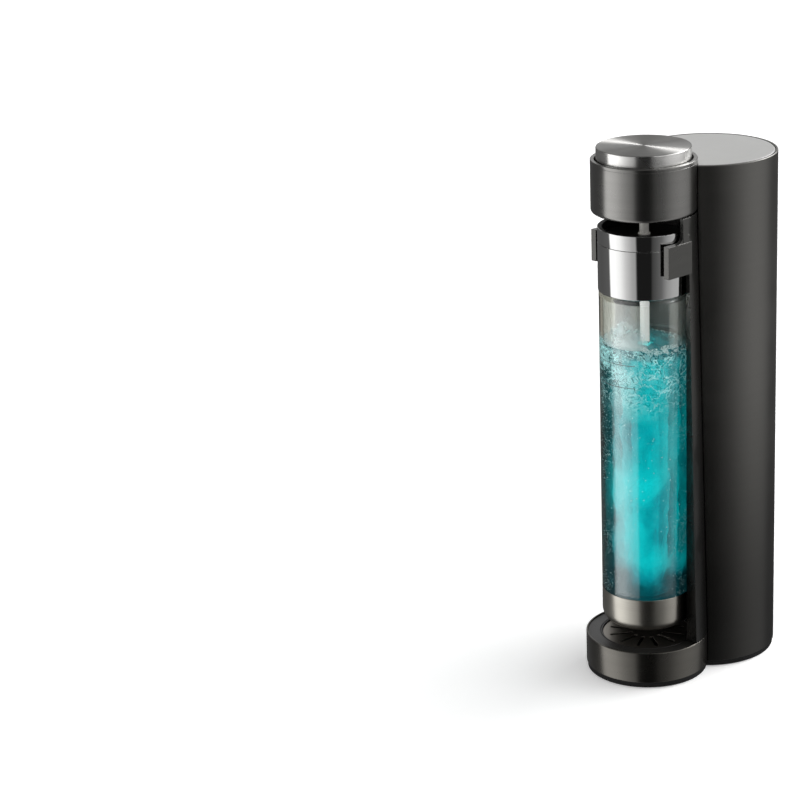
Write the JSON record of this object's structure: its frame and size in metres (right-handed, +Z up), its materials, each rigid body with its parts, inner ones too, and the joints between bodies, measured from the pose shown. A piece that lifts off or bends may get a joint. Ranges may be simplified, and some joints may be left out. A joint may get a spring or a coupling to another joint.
{
  "type": "sparkling water machine",
  "caption": "Countertop sparkling water machine with a press knob on a round head, a tilting chrome holder with a glass bottle, a round drip base and a tall rear gas cover.",
  "frame": {"origin": "centre of the footprint, on the surface that the feet stand on", "axes": "+Z up, -Y to the front where the bottle is, +X to the machine's left-hand side as it faces the user, which is the right in a front view"},
  "size_m": [0.114, 0.177, 0.44],
  "materials": {
    "gunmetal": "satin dark gunmetal coat",
    "lid_silver": "fine satin, pale silver",
    "spun_aluminium": "spun, with fine concentric lines",
    "black_plastic": "fine matte grain",
    "rubber": "matte",
    "steel": "machined",
    "grille_steel": "dark glossy",
    "brass": "machined",
    "gas_aluminium": "satin",
    "chrome": "polished",
    "tube_grey": "satin",
    "glass": "clear",
    "cup_steel": "polished, slightly warm"
  },
  "bodies": {
    "machine_body": {"base_shell": "gunmetal", "base_deck": "black_plastic", "bottom_cover": "black_plastic", "rubber_feet": "rubber", "cover_screws": "steel", "spine_panel": "black_plastic", "panel_screws": "steel", "cheek_left": "gunmetal", "cheek_right": "gunmetal", "head_shell": "gunmetal", "head_rim": "gunmetal", "guide_plate": "black_plastic", "stem_bush": "brass", "knob_spring": "steel", "chassis": "steel", "head_screws": "steel", "lever_pin": "steel", "valve_body": "brass", "valve_nut": "steel", "relief_valve": "brass", "gas_hose": "rubber", "outlet_fitting": "brass", "outlet_seal": "rubber", "cylinder_seat": "black_plastic"},
    "press_knob": {"knob_cap": "spun_aluminium", "knob_stem": "steel"},
    "lever": {"press_lever": "steel"},
    "valve": {"valve_pin": "steel"},
    "gas_bottle": {"gas_cylinder": "gas_aluminium", "cylinder_valve": "brass"},
    "cover": {"rear_cover": "gunmetal", "rear_lid": "lid_silver"},
    "tray": {"drip_tray": "black_plastic", "drip_grille": "grille_steel"},
    "holder": {"holder_sleeve": "chrome", "holder_ring": "chrome", "holder_cap": "black_plastic", "lock_ring": "black_plastic", "bottle_seal": "rubber", "nozzle": "tube_grey", "dip_tube": "tube_grey", "trunnion_pins": "steel"},
    "bottle": {"bottle_vessel": "glass", "neck_band": "steel", "bottle_cup": "cup_steel"}
  },
  "joints": [
    {"name": "knob_press", "type": "slide", "parent": "machine_body", "child": "press_knob", "axis": [0, 0, -1], "range_m": [0, 0.005], "stiffness_N_per_m": 900, "springref_m": -0.006, "deforming": ["knob_spring"]},
    {"name": "lever_swing", "type": "hinge", "parent": "machine_body", "child": "lever", "pos_m": [0, 0.0715, 0.4065], "axis": [1, 0, 0], "range_deg": [0, 2.7]},
    {"name": "valve_stroke", "type": "slide", "parent": "machine_body", "child": "valve", "axis": [0, 0, -1], "range_m": [0, 0.0011]},
    {"name": "holder_tilt", "type": "hinge", "parent": "machine_body", "child": "holder", "pos_m": [0, -0.0385, 0.35575], "axis": [-1, 0, 0], "range_deg": [0, 18]},
    {"name": "bottle_twist", "type": "hinge", "parent": "holder", "child": "bottle", "pos_m": [0, -0.0385, 0.2], "axis": [0, 0, 1], "range_deg": [0, 60]},
    {"name": "tray_lift", "type": "slide", "parent": "machine_body", "child": "tray", "axis": [0, 0, 1], "range_m": [0, 0.009]},
    {"name": "cover_lift", "type": "slide", "parent": "machine_body", "child": "cover", "axis": [0, 0, 1], "range_m": [0, 0.42]},
    {"name": "cylinder_turn", "type": "hinge", "parent": "machine_body", "child": "gas_bottle", "pos_m": [0, 0.0495, 0.2], "axis": [0, 0, 1], "continuous": true}
  ],
  "couplings": [
    {"joint": "lever_swing", "follows": "knob_press", "rad_per_m": 9.0909},
    {"joint": "valve_stroke", "follows": "knob_press", "ratio": 0.2}
  ]
}
